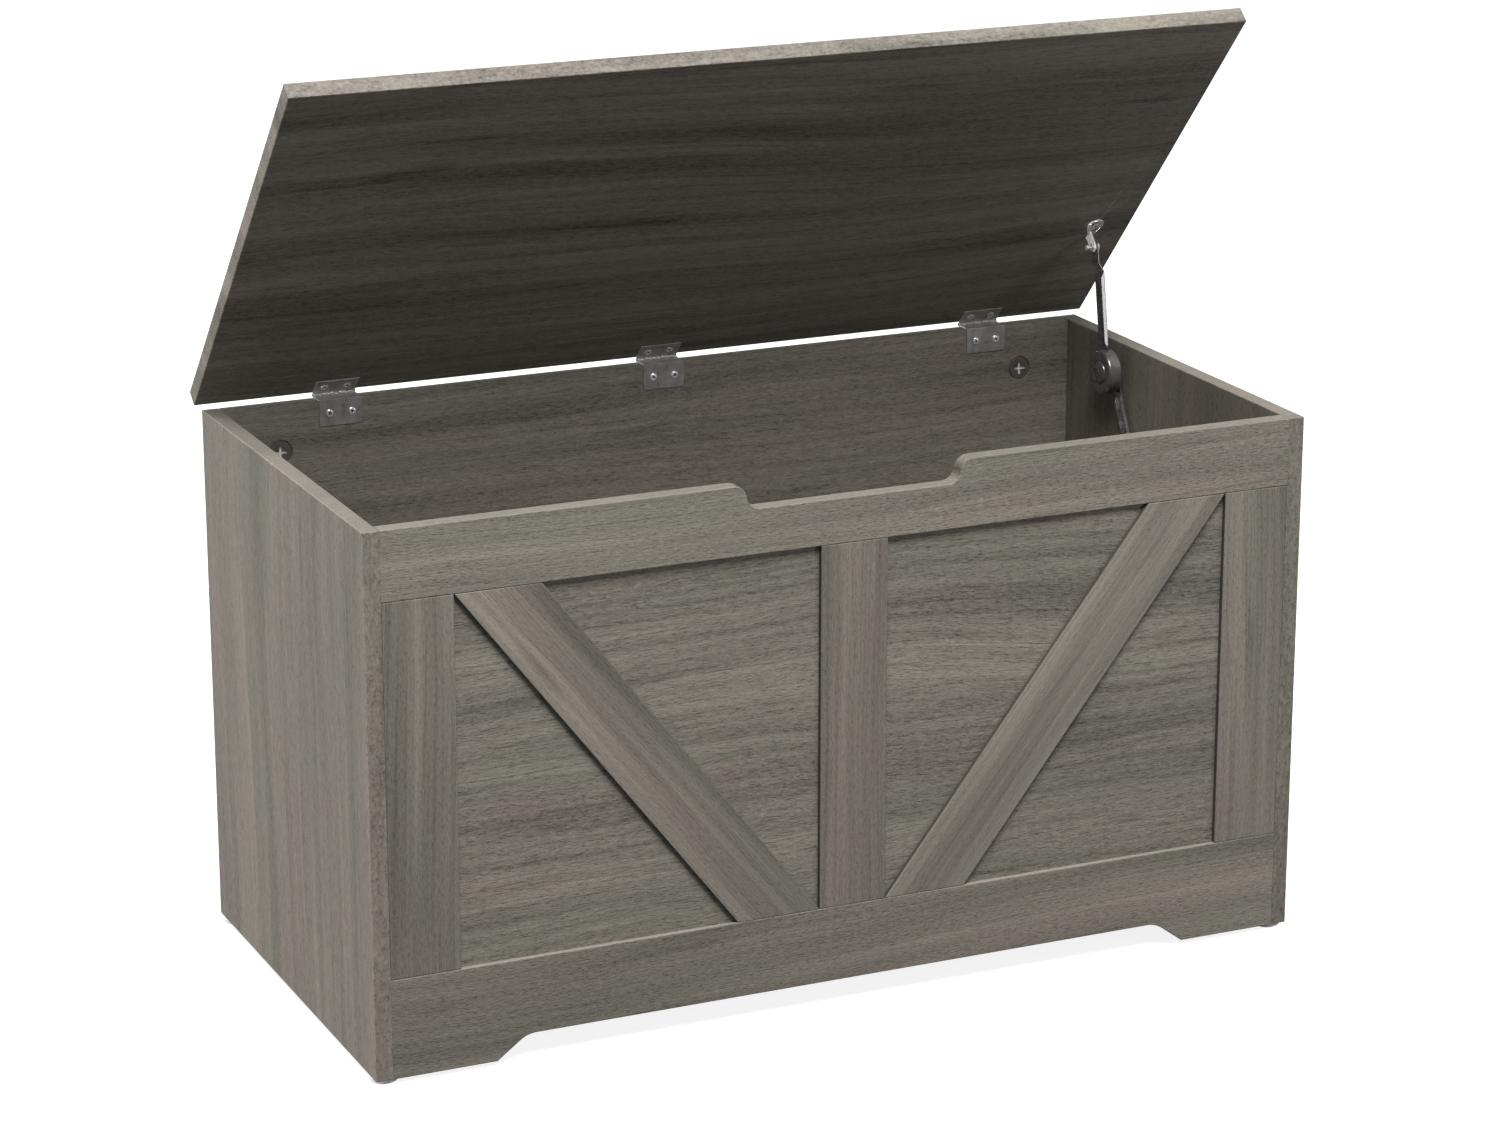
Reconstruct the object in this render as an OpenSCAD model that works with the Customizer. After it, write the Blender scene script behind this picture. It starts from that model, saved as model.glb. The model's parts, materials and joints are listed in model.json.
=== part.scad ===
// Toy box of laminated boards with a braced front, a lid on three hinges
// and one folding lid stay. It is drawn with the lid open on its stay.
// Frame: +X right, +Y back, +Z up, origin on the floor under the middle of
// the box with its lid open. Millimetres.

/* [Chest] */
// Width over the two side panels
chest_w = 870; // [700:5:1100]
// Depth over the side panels
chest_d = 420; // [340:5:520]
// Height of the side panels
side_h = 473; // [380:1:600]
// Thickness of every full board
board_t = 15; // [14:0.5:22]
// Height of the base panel's underside above the lower edge of the sides
base_lift = 45; // [40:1:70]
// Height of the back panel's lower edge above the lower edge of the sides
back_lift = 20; // [0:1:35]

/* [Front frame] */
// Height of the top rail
top_rail_h = 60.5; // [56:0.5:90]
// Height of the bottom rail
bottom_rail_h = 88; // [82:1:120]
// Width of each upright stile
stile_w = 62; // [40:1:90]
// Width of each diagonal brace, square across it
brace_w = 60.5; // [35:0.5:85]
// How far rails, stiles and braces stand proud of the infill panel
frame_t = 5; // [3:0.5:7]
// How far the infill panel runs up behind each rail
rebate_h = 12; // [6:0.5:12]

/* [Hand notch] */
// Width of the notch at its mouth
notch_w = 222; // [160:1:300]
// Depth of the notch
notch_depth = 21; // [12:1:25]
// Run of each curved shoulder along the rail
notch_shoulder = 24; // [18:1:36]

/* [Plinth cut-out] */
// Width of the cut-out along the floor
foot_gap_w = 655; // [500:5:700]
// Height of the cut-out
foot_gap_h = 20; // [10:1:25]
// Run of each sloping end
foot_gap_run = 27; // [15:1:50]
// Radius where each slope meets the level stretch
foot_gap_r = 25; // [5:1:30]

/* [Lid] */
// Overhang past each side panel
lid_over_side = 6.5; // [2:0.5:15]
// Overhang past the front when shut
lid_over_front = 15; // [5:0.5:25]
// Gap between the shut lid and the top of the chest
lid_gap = 3; // [3:0.1:5]
// Angle from shut to where the stay stops the lid
lid_open = 48; // [30:1:60]

/* [Hinges] */
// Centre of the left hinge from the outer face of the left side panel
left_hinge_inset = 123; // [90:1:160]
// Centre of the right hinge from the outer face of the right side panel
right_hinge_inset = 103.5; // [90:0.5:160]
// Width of a hinge
leaf_w = 40; // [35:1:60]
// Thickness of a hinge leaf
leaf_t = 1; // [0.8:0.1:1.2]
// Height of the leaf down the inside of the back panel
leaf_drop = 23; // [20:0.5:35]
// Length of the leaf along the underside of the lid
lid_leaf_l = 17; // [15:0.5:25]
// Outer radius of a hinge barrel
knuckle_r = 2; // [1.8:0.1:2]
// Radius of a hinge pin
hinge_pin_r = 1; // [0.8:0.05:1.1]
// Distance of the hinge axis behind the back panel
axis_setback = 1.8; // [1.8:0.1:2.5]
// Distance between the two screws of a leaf
leaf_screw_pitch = 21; // [16:0.5:26]
// Distance of the leaf's screws below the top of the back panel
leaf_screw_drop = 11.5; // [8:0.5:14]
// Distance of the lid leaf's screws in front of the hinge axis
lid_screw_reach = 10; // [8:0.5:12]

/* [Lid stay] */
// Distance between the pivots of each stay arm
arm_l = 117; // [95:1:140]
// Width of each stay arm
arm_w = 12; // [10:0.5:14]
// Angle between the two arms when the lid is open
stay_kink = 17; // [8:1:30]
// Lean of the open stay from upright
stay_lean = 18; // [5:1:30]
// Distance of the lid pivot in front of the hinge axis
lid_pivot_reach = 128.5; // [110:0.5:160]
// Distance of the lid pivot below the underside of the lid
lid_pivot_drop = 15; // [12:0.5:20]
// Radius of the round hub
hub_r = 20.5; // [18:0.5:24]
// Thickness of the stay's sheet steel
stay_t = 1.2; // [1:0.1:1.5]

/* [Fixings] */
// Diameter of a cam lock
cam_d = 21; // [18:0.5:22]
// Distance from a side panel's inner face to the middle of a cam lock
cam_reach = 51.5; // [34:0.5:60]
// Distance of the upper back cam locks below the top of the back panel
back_cam_drop = 43; // [40:1:80]
// Diameter of a dowel
dowel_d = 8; // [6:1:8]
// Length of a dowel
dowel_l = 30; // [25:1:35]
// Depth of dowel and bolt holes in a side panel
socket_depth = 11; // [9:0.5:11]

/* [Floor glides] */
// Diameter of a floor glide
glide_d = 24.5; // [20:0.5:26]
// Height of a floor glide
glide_h = 5; // [4:0.5:8]
// Distance of a glide's middle from the side panel's outer face
glide_inset = 11.5; // [7.5:0.5:12]
// Distance of a glide's middle from the front or back edge of the side
glide_setback = 15; // [13:1:60]

/* [Clearances] */
// Radial clearance of a pin or rivet that turns
running_gap = 0.05; // [0.02:0.01:0.1]
// Gap between faces that move past each other
moving_gap = 0.4; // [0.3:0.05:0.5]
// Radial clearance of a screw in sheet steel
screw_gap = 0.2; // [0.1:0.05:0.4]
// Radial clearance of a cam lock in its pocket
cam_gap = 0.3; // [0.1:0.05:0.5]

/* [Hidden] */
$fn = 64;
eps = 0.01;

// Inner faces of the chest. Points in the side view are [y, z], with y
// counted from the front of the chest and z from the sides' lower edge.
half_w = chest_w / 2;
inner_x = half_w - board_t;
inner_w = 2 * inner_x;
back_y = chest_d - board_t;

// Front frame
top_rail_z = side_h - top_rail_h;
opening_h = top_rail_z - bottom_rail_h;
bay_w = inner_x - stile_w - stile_w / 2;

// Hinge axis, and where a point on the lid goes as the lid opens
axis_y = chest_d + axis_setback;
axis_z = side_h + lid_gap / 2;
lid_z = side_h + lid_gap;
lid_w = chest_w + 2 * lid_over_side;
lid_d = chest_d + lid_over_front;
function opened(p, a = lid_open) = [
    axis_y + (p[0] - axis_y) * cos(a) + (p[1] - axis_z) * sin(a),
    axis_z - (p[0] - axis_y) * sin(a) + (p[1] - axis_z) * cos(a)
];

// The open lid's upper rear corner is the rearmost point of the toy box
rear_reach = opened([chest_d, lid_z + board_t])[0];
front_y = -rear_reach / 2;

// Hinge positions along X, and the stretch of one knuckle
hinge_x = [-half_w + left_hinge_inset, 0, half_w - right_hinge_inset];
knuckles = 5;
knuckle_pitch = leaf_w / knuckles;
knuckle_side_gap = 0.4;

// Screws of the hinges and of the stay
screw_head_r = 3.5;
screw_head_h = 1.6;
flat_head_h = 0.6;
screw_r = 1.5;
screw_l = 12;
cross_l = 4.4;
cross_w = 0.9;

// Stay geometry in the side view: pivots on lid and side, and the hub where
// the two arms meet, which lies behind the line from pivot to pivot
lid_pivot_shut = [axis_y - lid_pivot_reach, lid_z - lid_pivot_drop];
lid_pivot = opened(lid_pivot_shut);
stay_chord = 2 * arm_l * cos(stay_kink / 2);
side_pivot = lid_pivot - stay_chord * [sin(stay_lean), cos(stay_lean)];
function hub_between(side, lid) =
    let (run = lid - side, reach = norm(run), sag = sqrt(arm_l * arm_l - reach * reach / 4))
    (side + lid) / 2 + sag * [run[1], -run[0]] / reach;
hub = hub_between(side_pivot, lid_pivot);
hub_shut = hub_between(side_pivot, lid_pivot_shut);
function bearing(from, to) = atan2(to[1] - from[1], to[0] - from[0]);
upper_bearing = bearing(lid_pivot, hub);
lower_bearing = bearing(side_pivot, hub);

// Layers of the stay, counted inwards from the side panel's inner face
bracket_t = 1.5;
boss_top = 3.1;
lower_web = boss_top + moving_gap;
lower_top = 7;
side_head = lower_web + stay_t + moving_gap;
hub_back = lower_top + moving_gap;
hub_wall = 2;
base_disc_t = 3.6;
upper_web = hub_back + base_disc_t;
friction_t = 2;
spring_t = 3.2;
hub_front = upper_web + stay_t + friction_t + spring_t + hub_wall;
hub_cap_t = 0.6;
hub_dot_t = 0.4;
flange_h = 4;
tab_web = upper_web + 4.5;
ear_back = tab_web + stay_t + moving_gap;
rivet_r = 2.5;
rivet_head_r = 4.5;
rivet_head_t = 1.2;
boss_r = 6;
hub_rivet_r = 3;
hub_disc_gap = 0.4;
hub_cap_r = 10;
hub_dot_r = 1.6;
crank_start = 15;
crank_end = 23;
flange_t = 1.2;
tab_end_r = arm_w / 2;

// Lid bracket: a pear-shaped foot on the lid and an ear down to the pivot
foot_r = 8;
foot_tip_r = 2.5;
foot_edge = 8;
foot_screw_reach = lid_pivot_reach + 14.5;
ear_r = 4.5;
ear_half = 6;
pin_collar_t = 1.5;
pin_collar_r = 3.5;
pin_neck_r = 1.6;
pin_neck_l = 4;
pin_end_r = 2.4;
pin_end_l = 1.5;

// Side bracket: a plate with a screw above and below the pivot
plate_screw_off = 14;
plate_end_r = 7;

// Cam locks and bolts
cam_cross_l = 12;
cam_cross_w = 2.6;
cam_cross_d = 2;
bolt_r = 2.5;
bolt_head_r = 3.4;
bolt_head_l = 4;
bolt_bore_r = 4;
mid_board = board_t / 2;
bolt_cover = 4.8;
cam_h = mid_board + bolt_cover;
rail_cam_z = side_h - 25;
rail_dowel_z = side_h - 41;
foot_cam_z = 22;
foot_dowel_z = bottom_rail_h - 22;
low_back_cam_z = base_lift + board_t + 30;
base_cam_from_edge = 75;
base_dowel_from_edge = 135;
back_dowel_z = [low_back_cam_z + 60, (low_back_cam_z + side_h) / 2, side_h - back_cam_drop - 50];

// Each cam lock: [y, z] of its bolt, and the way its pocket opens
CAMS = [
    [[back_y + mid_board, side_h - back_cam_drop], "front"],
    [[back_y + mid_board, low_back_cam_z], "front"],
    [[mid_board, rail_cam_z], "back"],
    [[mid_board, foot_cam_z], "back"],
    [[board_t + base_cam_from_edge, base_lift + mid_board], "down"],
    [[back_y - base_cam_from_edge, base_lift + mid_board], "down"]
];
// Each dowel: [y, z] of its axis
DOWELS = concat(
    [for (z = back_dowel_z) [back_y + mid_board, z]],
    [[mid_board, rail_dowel_z], [mid_board, foot_dowel_z]],
    [for (y = [board_t + base_dowel_from_edge, back_y - base_dowel_from_edge])
        [y, base_lift + mid_board]]
);

board_colour = [0.44, 0.42, 0.38];
steel_colour = [0.36, 0.35, 0.34];
bright_colour = [0.78, 0.78, 0.76];
dark_colour = [0.2, 0.19, 0.18];

// ---- Places -------------------------------------------------------------

// From the chest's own corner to the frame of the whole toy box
module in_frame() { translate([0, front_y, glide_h]) children(); }

// What is drawn on the shut lid goes to the open lid
module on_lid() {
    in_frame() translate([0, axis_y, axis_z]) rotate([-lid_open, 0, 0])
        translate([0, -axis_y, -axis_z]) children();
}

// Flat work beside the right side panel: local X runs along the bearing a
// in the side view, local Z inwards from the panel
module beside_panel(p, a) {
    translate([inner_x, p[0], p[1]]) rotate([a - 90, 0, 0]) rotate([0, -90, 0]) children();
}

// Both ends of the chest
module both_sides() {
    children();
    mirror([1, 0, 0]) children();
}

// A shape drawn in [x, z] on the front of the chest, y deep from front to back
module upright(from_y, to_y) {
    translate([0, to_y, 0]) rotate([90, 0, 0]) linear_extrude(to_y - from_y) children();
}

// A round bar along X from x0 to x1
module bar_x(x0, x1, r) { translate([x0, 0, 0]) rotate([0, 90, 0]) cylinder(h = x1 - x0, r = r); }

// Points along an arc, both ends included
arc_steps = 12;
function arc(c, r, from, to) =
    [for (i = [0:arc_steps]) let (a = from + (to - from) * i / arc_steps) c + r * [cos(a), sin(a)]];

// Two round ends of different radius joined by their common tangents
module taper_2d(a, ra, b, rb) {
    run = b - a;
    turn = atan2(run[1], run[0]);
    open = acos((ra - rb) / norm(run));
    ends = [[a, ra, open], [b, rb, open], [b, rb, -open], [a, ra, -open]];
    translate(a) circle(r = ra);
    translate(b) circle(r = rb);
    polygon([for (e = ends) e[0] + e[1] * [cos(turn + e[2]), sin(turn + e[2])]]);
}

// ---- Fixings ------------------------------------------------------------

// Domed head on z = 0 with a cross recess, shank downwards
module screw(head_h, cross_depth) {
    dome = (screw_head_r * screw_head_r + head_h * head_h) / (2 * head_h);
    difference() {
        intersection() {
            cylinder(h = head_h, r = screw_head_r);
            translate([0, 0, head_h - dome]) sphere(r = dome);
        }
        for (a = [0, 90]) rotate(a) translate([-cross_l / 2, -cross_w / 2, head_h - cross_depth])
            cube([cross_l, cross_w, head_h]);
    }
    translate([0, 0, -screw_l]) cylinder(h = screw_l + eps, r = screw_r);
}

// Places of the screws of one hinge: on the back panel, and on the shut lid
module at_body_screws(x) {
    for (s = [-1, 1]) translate([x + s * leaf_screw_pitch / 2, back_y, side_h - leaf_screw_drop])
        rotate([90, 0, 0]) children();
}
module at_lid_screws(x) {
    for (s = [-1, 1]) translate([x + s * leaf_screw_pitch / 2, axis_y - lid_screw_reach, lid_z])
        rotate([180, 0, 0]) children();
}

// Place of the screw of the stay's foot on the shut lid
foot_w = foot_edge + foot_r;
module at_foot_screw() {
    translate([inner_x - foot_w, axis_y - foot_screw_reach, lid_z]) rotate([180, 0, 0]) children();
}

// Places of the two screws of the side bracket, head inwards
module at_plate_screws() {
    for (s = [-1, 1]) beside_panel(side_pivot, 90) translate([s * plate_screw_off, 0, 0]) children();
}

// Turns a cam lock drawn with its face on z = 0 and its bolt along X
module cam_pose(place) {
    depth = board_t - mid_board;
    way = place[1];
    translate([inner_x - cam_reach, place[0][0], place[0][1]])
        rotate(way == "front" ? [90, 0, 0] : way == "back" ? [-90, 0, 0] : [180, 0, 0])
            translate([0, 0, depth]) children();
}

// Pocket and bolt bore of every cam lock that opens the given way
module cam_pockets(way) {
    for (place = CAMS) if (place[1] == way) both_sides() cam_pose(place) {
        translate([0, 0, -cam_h]) cylinder(h = cam_h + 1, r = cam_d / 2 + cam_gap);
        translate([0, 0, mid_board - board_t]) bar_x(0, cam_reach + 1, bolt_bore_r);
    }
}

// Holes in a side panel for bolts and dowels
module side_sockets() {
    for (place = CAMS) translate([0, place[0][0], place[0][1]])
        bar_x(inner_x - eps, inner_x + socket_depth, bolt_r);
    for (p = DOWELS) translate([0, p[0], p[1]])
        bar_x(inner_x - eps, inner_x + socket_depth, dowel_d / 2);
}

// Dowel holes in the ends of the boards between the sides
module end_dowel_holes() {
    both_sides() for (p = DOWELS) translate([0, p[0], p[1]])
        bar_x(inner_x - (dowel_l - socket_depth) - 1, inner_x + eps, dowel_d / 2);
}

// ---- Chest --------------------------------------------------------------

module left_side_panel() {
    color(board_colour) in_frame() mirror([1, 0, 0]) difference() {
        translate([inner_x, 0, 0]) cube([board_t, chest_d, side_h]);
        side_sockets();
        nail_holes();
    }
}

module right_side_panel() {
    color(board_colour) in_frame() difference() {
        translate([inner_x, 0, 0]) cube([board_t, chest_d, side_h]);
        side_sockets();
        nail_holes();
        at_plate_screws() translate([0, 0, -screw_l]) cylinder(h = screw_l + 1, r = screw_r);
    }
}

module back_panel() {
    color(board_colour) in_frame() difference() {
        translate([-inner_x, back_y, back_lift]) cube([inner_w, board_t, side_h - back_lift]);
        cam_pockets("front");
        end_dowel_holes();
        for (x = hinge_x) at_body_screws(x) translate([0, 0, -screw_l]) cylinder(h = screw_l + 1, r = screw_r);
    }
}

module base_panel() {
    color(board_colour) in_frame() difference() {
        translate([-inner_x, board_t, base_lift]) cube([inner_w, back_y - board_t, board_t]);
        cam_pockets("down");
        end_dowel_holes();
    }
}

module front_infill_panel() {
    color(board_colour) in_frame() upright(frame_t, board_t)
        translate([-inner_x, bottom_rail_h - rebate_h]) square([inner_w, opening_h + 2 * rebate_h]);
}

// The hand notch: a level stretch between two S-shaped shoulders, each made
// of two equal arcs that meet half way down
module notch_2d() {
    sweep = 2 * atan(notch_depth / notch_shoulder);
    r = notch_shoulder / (2 * sin(sweep));
    mouth = notch_w / 2;
    level = mouth - notch_shoulder;
    floor_z = side_h - notch_depth;
    polygon(concat(
        [[-mouth, side_h + 1]],
        arc([-mouth, side_h - r], r, 90, 90 - sweep),
        arc([-level, floor_z + r], r, 270 - sweep, 270),
        arc([level, floor_z + r], r, 270, 270 + sweep),
        arc([mouth, side_h - r], r, 90 + sweep, 90),
        [[mouth, side_h + 1]]
    ));
}

module top_rail() {
    color(board_colour) in_frame() difference() {
        upright(0, board_t) difference() {
            translate([-inner_x, top_rail_z]) square([inner_w, top_rail_h]);
            notch_2d();
        }
        translate([-inner_x - eps, frame_t, top_rail_z - eps])
            cube([inner_w + 2 * eps, board_t, rebate_h + eps]);
        cam_pockets("back");
        end_dowel_holes();
    }
}

// The cut-out over the floor: sloping ends that round into a level stretch
module foot_gap_2d() {
    slope = atan(foot_gap_h / foot_gap_run);
    mouth = foot_gap_w / 2;
    bend = mouth - foot_gap_run - foot_gap_r * tan(slope / 2);
    polygon(concat(
        [[-mouth, -1], [-mouth, 0]],
        arc([-bend, foot_gap_h - foot_gap_r], foot_gap_r, 90 + slope, 90),
        arc([bend, foot_gap_h - foot_gap_r], foot_gap_r, 90, 90 - slope),
        [[mouth, 0], [mouth, -1]]
    ));
}

module bottom_rail() {
    color(board_colour) in_frame() difference() {
        upright(0, board_t) difference() {
            translate([-inner_x, 0]) square([inner_w, bottom_rail_h]);
            foot_gap_2d();
        }
        translate([-inner_x - eps, frame_t, bottom_rail_h - rebate_h])
            cube([inner_w + 2 * eps, board_t, rebate_h + eps]);
        cam_pockets("back");
        end_dowel_holes();
    }
}

module stile(x) {
    color(board_colour) in_frame() upright(0, frame_t)
        translate([x, bottom_rail_h]) square([stile_w, opening_h]);
}
module left_stile() { stile(-inner_x); }
module centre_stile() { stile(-stile_w / 2); }
module right_stile() { stile(inner_x - stile_w); }

// Run of a brace's level end, from its width square across the slope
brace_run = let (w2 = brace_w * brace_w, h2 = opening_h * opening_h, s2 = bay_w * bay_w)
    (sqrt(w2 * w2 * s2 + (h2 - w2) * w2 * (s2 + h2)) - w2 * bay_w) / (h2 - w2);

// From the top outer corner of a bay down to the foot of the centre stile
module brace() {
    outer = inner_x - stile_w;
    foot = stile_w / 2;
    color(board_colour) in_frame() upright(0, frame_t) polygon([
        [outer, top_rail_z], [outer - brace_run, top_rail_z],
        [foot, bottom_rail_h], [foot + brace_run, bottom_rail_h]
    ]);
}
module left_brace() { mirror([1, 0, 0]) brace(); }
module right_brace() { brace(); }

// ---- Floor glides -------------------------------------------------------

nail_r = 1.2;
nail_l = 16;
glide_skirt = 2.6;
glide_rise = 1.8;
nail_sink = 2;
module at_glides() {
    both_sides() for (y = [glide_setback, chest_d - glide_setback])
        translate([half_w - glide_inset, y, 0]) children();
}
module nail_holes() {
    for (y = [glide_setback, chest_d - glide_setback])
        translate([half_w - glide_inset, y, -1]) cylinder(h = nail_l + 1, r = nail_r);
}

module floor_glides() {
    r = glide_d / 2;
    color([0.93, 0.93, 0.91]) in_frame() at_glides() difference() {
        translate([0, 0, -glide_h]) rotate_extrude()
            polygon([[0, 0], [r - glide_skirt, 0], [r, glide_rise], [r, glide_h], [0, glide_h]]);
        translate([0, 0, -glide_h + nail_sink]) cylinder(h = glide_h, r = nail_r);
    }
}

module glide_nails() {
    color(bright_colour) in_frame() at_glides()
        translate([0, 0, -glide_h + nail_sink]) cylinder(h = glide_h - nail_sink + nail_l, r = nail_r);
}

// ---- Cam locks, bolts and dowels ---------------------------------------

module cam_lock() {
    difference() {
        translate([0, 0, -cam_h]) cylinder(h = cam_h, r = cam_d / 2);
        for (a = [0, 90]) rotate(a) translate([-cam_cross_l / 2, -cam_cross_w / 2, -cam_cross_d])
            cube([cam_cross_l, cam_cross_w, cam_cross_d + 1]);
        translate([0, 0, mid_board - board_t]) bar_x(-bolt_head_l, cam_d, bolt_bore_r);
    }
}
module cam_locks() {
    color(dark_colour) in_frame() for (place = CAMS) both_sides() cam_pose(place) cam_lock();
}

module cam_bolts() {
    color(bright_colour) in_frame() for (place = CAMS) both_sides()
        translate([0, place[0][0], place[0][1]]) {
            bar_x(inner_x - cam_reach, inner_x + socket_depth, bolt_r);
            bar_x(inner_x - cam_reach - bolt_head_l / 2, inner_x - cam_reach + bolt_head_l / 2, bolt_head_r);
        }
}

module wooden_dowels() {
    color([0.78, 0.62, 0.42]) in_frame() both_sides() for (p = DOWELS)
        translate([0, p[0], p[1]])
            bar_x(inner_x + socket_depth - dowel_l, inner_x + socket_depth, dowel_d / 2);
}

// ---- Hinges -------------------------------------------------------------

// Knuckles of one leaf: every other one, from the first given
module knuckle_row(first) {
    for (i = [first:2:knuckles - 1])
        translate([-leaf_w / 2 + i * knuckle_pitch + knuckle_side_gap / 2, 0, 0]) children();
}
module barrel(bore) {
    difference() {
        bar_x(0, knuckle_pitch - knuckle_side_gap, knuckle_r);
        bar_x(-1, knuckle_pitch, bore);
    }
}
leaf_reach = knuckle_r + moving_gap;

// Wraps the top edge of the back panel, from its inner face to the barrel
module hinge_body_leaf(x) {
    color(steel_colour) in_frame() translate([x, 0, 0]) difference() {
        union() {
            translate([-leaf_w / 2, back_y - leaf_t, side_h - leaf_drop])
                cube([leaf_w, leaf_t, leaf_drop + leaf_t]);
            translate([-leaf_w / 2, back_y - leaf_t, side_h])
                cube([leaf_w, axis_y - leaf_reach - back_y + leaf_t, leaf_t]);
            knuckle_row(0) translate([0, axis_y - leaf_reach - 1, side_h])
                cube([knuckle_pitch - knuckle_side_gap, leaf_reach + 1, leaf_t]);
            knuckle_row(0) translate([0, axis_y, axis_z])
                bar_x(0, knuckle_pitch - knuckle_side_gap, knuckle_r);
        }
        translate([0, axis_y, axis_z]) bar_x(-leaf_w, leaf_w, hinge_pin_r);
        at_body_screws(0) cylinder(h = 4 * leaf_t, r = screw_r + screw_gap, center = true);
    }
}
module left_hinge_body_leaf() { hinge_body_leaf(hinge_x[0]); }
module middle_hinge_body_leaf() { hinge_body_leaf(hinge_x[1]); }
module right_hinge_body_leaf() { hinge_body_leaf(hinge_x[2]); }

// Flat on the underside of the lid
module hinge_lid_leaf(x) {
    color(steel_colour) on_lid() translate([x, 0, 0]) difference() {
        union() {
            translate([-leaf_w / 2, axis_y - leaf_reach - lid_leaf_l, lid_z - leaf_t])
                cube([leaf_w, lid_leaf_l, leaf_t]);
            knuckle_row(1) translate([0, axis_y - leaf_reach - 1, lid_z - leaf_t])
                cube([knuckle_pitch - knuckle_side_gap, leaf_reach + 1, leaf_t]);
            knuckle_row(1) translate([0, axis_y, axis_z])
                bar_x(0, knuckle_pitch - knuckle_side_gap, knuckle_r);
        }
        translate([0, axis_y, axis_z]) bar_x(-leaf_w, leaf_w, hinge_pin_r + running_gap);
        at_lid_screws(0) cylinder(h = 4 * leaf_t, r = screw_r + screw_gap, center = true);
    }
}
module left_hinge_lid_leaf() { hinge_lid_leaf(hinge_x[0]); }
module middle_hinge_lid_leaf() { hinge_lid_leaf(hinge_x[1]); }
module right_hinge_lid_leaf() { hinge_lid_leaf(hinge_x[2]); }

module hinge_pin(x) {
    color(steel_colour) in_frame() translate([x, axis_y, axis_z]) bar_x(-leaf_w / 2, leaf_w / 2, hinge_pin_r);
}
module left_hinge_pin() { hinge_pin(hinge_x[0]); }
module middle_hinge_pin() { hinge_pin(hinge_x[1]); }
module right_hinge_pin() { hinge_pin(hinge_x[2]); }

module hinge_body_screws() {
    color(bright_colour) in_frame() for (x = hinge_x) at_body_screws(x)
        translate([0, 0, leaf_t]) screw(screw_head_h, screw_head_h / 2);
}
module hinge_lid_screws() {
    color(bright_colour) on_lid() for (x = hinge_x) at_lid_screws(x)
        translate([0, 0, leaf_t]) screw(flat_head_h, flat_head_h / 2);
}

// ---- Lid ----------------------------------------------------------------

module lid_panel() {
    color(board_colour) on_lid() difference() {
        translate([-lid_w / 2, -lid_over_front, lid_z]) cube([lid_w, lid_d, board_t]);
        for (x = hinge_x) at_lid_screws(x) translate([0, 0, -screw_l]) cylinder(h = screw_l + 1, r = screw_r);
        at_foot_screw() translate([0, 0, -screw_l]) cylinder(h = screw_l + 1, r = screw_r);
    }
}

// ---- Lid stay -----------------------------------------------------------

// On the side panel
module stay_side_bracket() {
    color(steel_colour) in_frame() difference() {
        beside_panel(side_pivot, 90) {
            linear_extrude(bracket_t) {
                for (s = [-1, 1]) translate([s * plate_screw_off, 0]) circle(r = plate_end_r);
                square([2 * plate_screw_off, 2 * plate_end_r], center = true);
            }
            cylinder(h = boss_top, r = boss_r);
        }
        beside_panel(side_pivot, 90) translate([0, 0, -1]) cylinder(h = boss_top + 2, r = rivet_r);
        at_plate_screws() translate([0, 0, -1]) cylinder(h = bracket_t + 2, r = screw_r + screw_gap);
    }
}
module stay_side_rivet() {
    color(bright_colour) in_frame() beside_panel(side_pivot, 90) {
        cylinder(h = side_head, r = rivet_r);
        translate([0, 0, side_head]) cylinder(h = rivet_head_t, r = rivet_head_r);
    }
}
module stay_side_screws() {
    color(bright_colour) in_frame() at_plate_screws()
        translate([0, 0, bracket_t]) screw(flat_head_h * 2, flat_head_h);
}

// The lower arm: a shallow channel from the side pivot to the hub
module stay_lower_arm() {
    flange_stop = arm_l - hub_r - 4;
    color(steel_colour) in_frame() beside_panel(side_pivot, lower_bearing) difference() {
        union() {
            translate([0, 0, lower_web]) linear_extrude(stay_t) {
                circle(r = tab_end_r);
                translate([arm_l, 0]) circle(r = arm_w * 0.75);
                translate([0, -arm_w / 2]) square([arm_l, arm_w]);
            }
            for (s = [-1, 1]) translate([tab_end_r + 4, s * (arm_w - flange_t) / 2 - flange_t / 2, lower_web])
                cube([flange_stop - tab_end_r - 4, flange_t, lower_top - lower_web]);
        }
        cylinder(h = lower_top, r = rivet_r + running_gap);
        translate([arm_l, 0, 0]) cylinder(h = lower_top, r = rivet_r);
    }
}
// Stub of the hub pivot, short of the hub itself
module stay_lower_rivet() {
    color(bright_colour) in_frame() beside_panel(hub, lower_bearing) {
        translate([0, 0, lower_web]) cylinder(h = stay_t, r = rivet_r);
        translate([0, 0, lower_web + stay_t]) cylinder(h = lower_top - lower_web - stay_t, r = boss_r);
    }
}

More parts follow.
